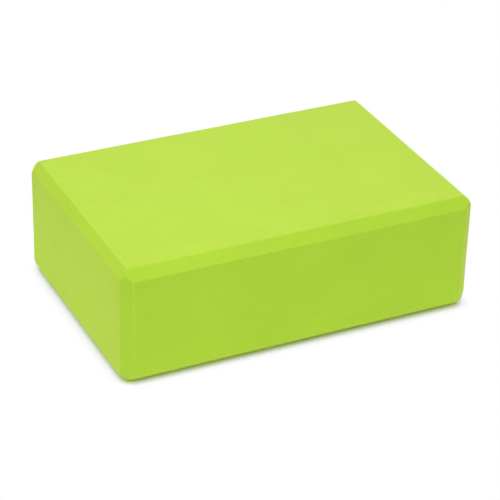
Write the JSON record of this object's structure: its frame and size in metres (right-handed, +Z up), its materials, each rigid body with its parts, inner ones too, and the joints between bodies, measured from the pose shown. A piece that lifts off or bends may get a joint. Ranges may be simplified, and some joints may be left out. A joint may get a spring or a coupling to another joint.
{
  "type": "yoga block",
  "caption": "Solid foam block with a flat bevel on every edge; lies flat, on its long side or on end as a firm support under a hand, foot or hip.",
  "frame": {"origin": "centre of the broad face that the block lies on", "axes": "+X along the length, +Y across the width away from the front long side, +Z up through the thickness"},
  "size_m": [0.2286, 0.1524, 0.0762],
  "materials": {
    "foam": "matte"
  },
  "bodies": {
    "root": {"foam_block": "foam"}
  },
  "joints": []
}
